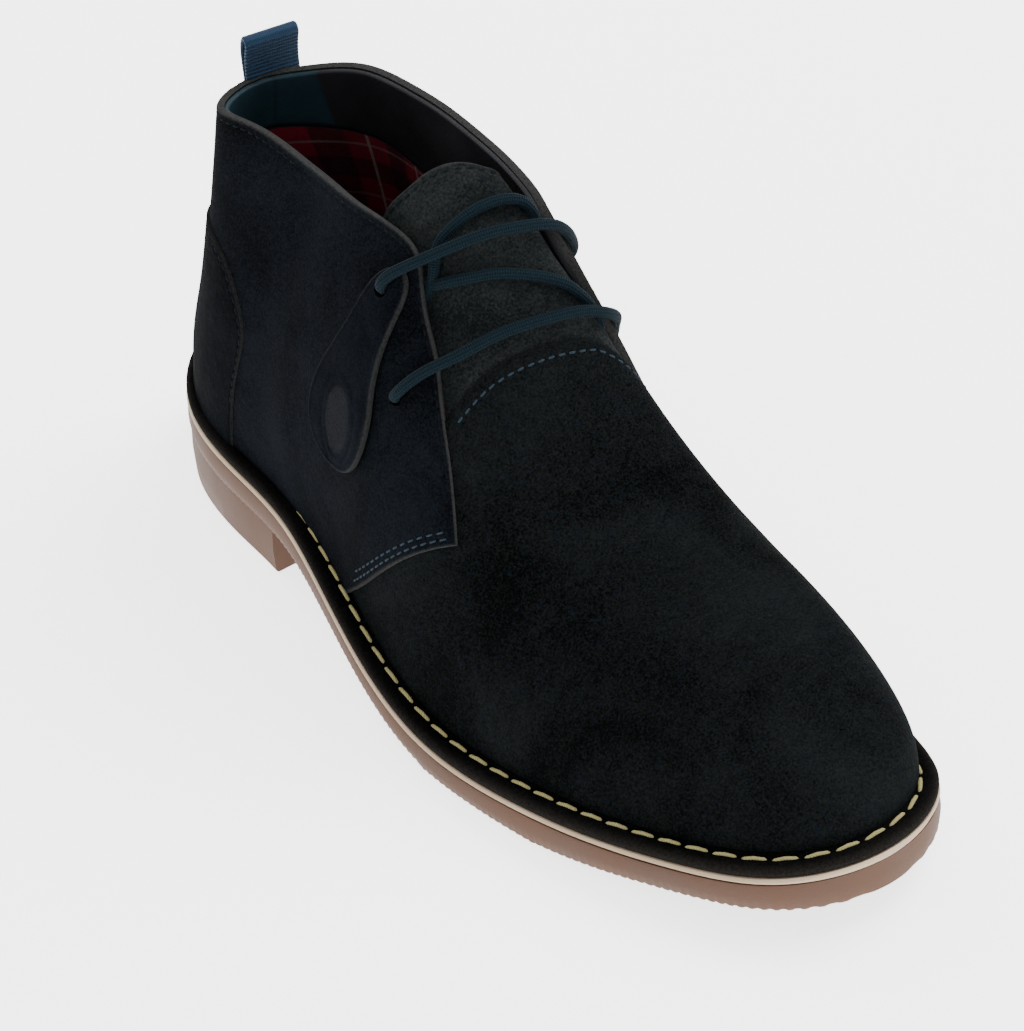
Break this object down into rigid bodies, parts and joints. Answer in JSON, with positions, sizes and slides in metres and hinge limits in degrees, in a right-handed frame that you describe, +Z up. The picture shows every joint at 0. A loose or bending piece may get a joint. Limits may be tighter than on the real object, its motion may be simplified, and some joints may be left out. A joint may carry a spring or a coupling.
{
  "type": "chukka boot",
  "caption": "Ankle-high suede chukka boot for the right foot: hollow upper with a laced throat, tongue, stitched welt, cream midsole and a rubber outsole with a low heel.",
  "frame": {"origin": "on the floor under the middle of the boot's bounding box", "axes": "+Z up from the floor; +Y towards the back of the heel, so the toe points to -Y; +X towards the inner side of the foot, so the outer side is at -X"},
  "size_m": [0.1064, 0.302, 0.1406],
  "materials": {
    "outsole_rubber": "matte tan crepe-like rubber",
    "midsole_cream": "matte cream rubber",
    "welt_black": "black napped suede, stitched",
    "footbed_cloth": "red checked cloth",
    "upper_suede": "dark navy napped suede",
    "fob_suede": "dark navy napped suede, pressed with a plain oval",
    "loop_webbing": "ribbed blue webbing",
    "lace_cord": "round braided cord, dark teal"
  },
  "bodies": {
    "root": {"outsole": "outsole_rubber", "midsole": "midsole_cream", "welt": "welt_black", "footbed": "footbed_cloth", "upper": "upper_suede", "tongue": "upper_suede", "fob": "fob_suede", "pull_loop": "loop_webbing", "lace_lower": "lace_cord", "lace_upper": "lace_cord", "lace_middle": "lace_cord"}
  },
  "joints": []
}
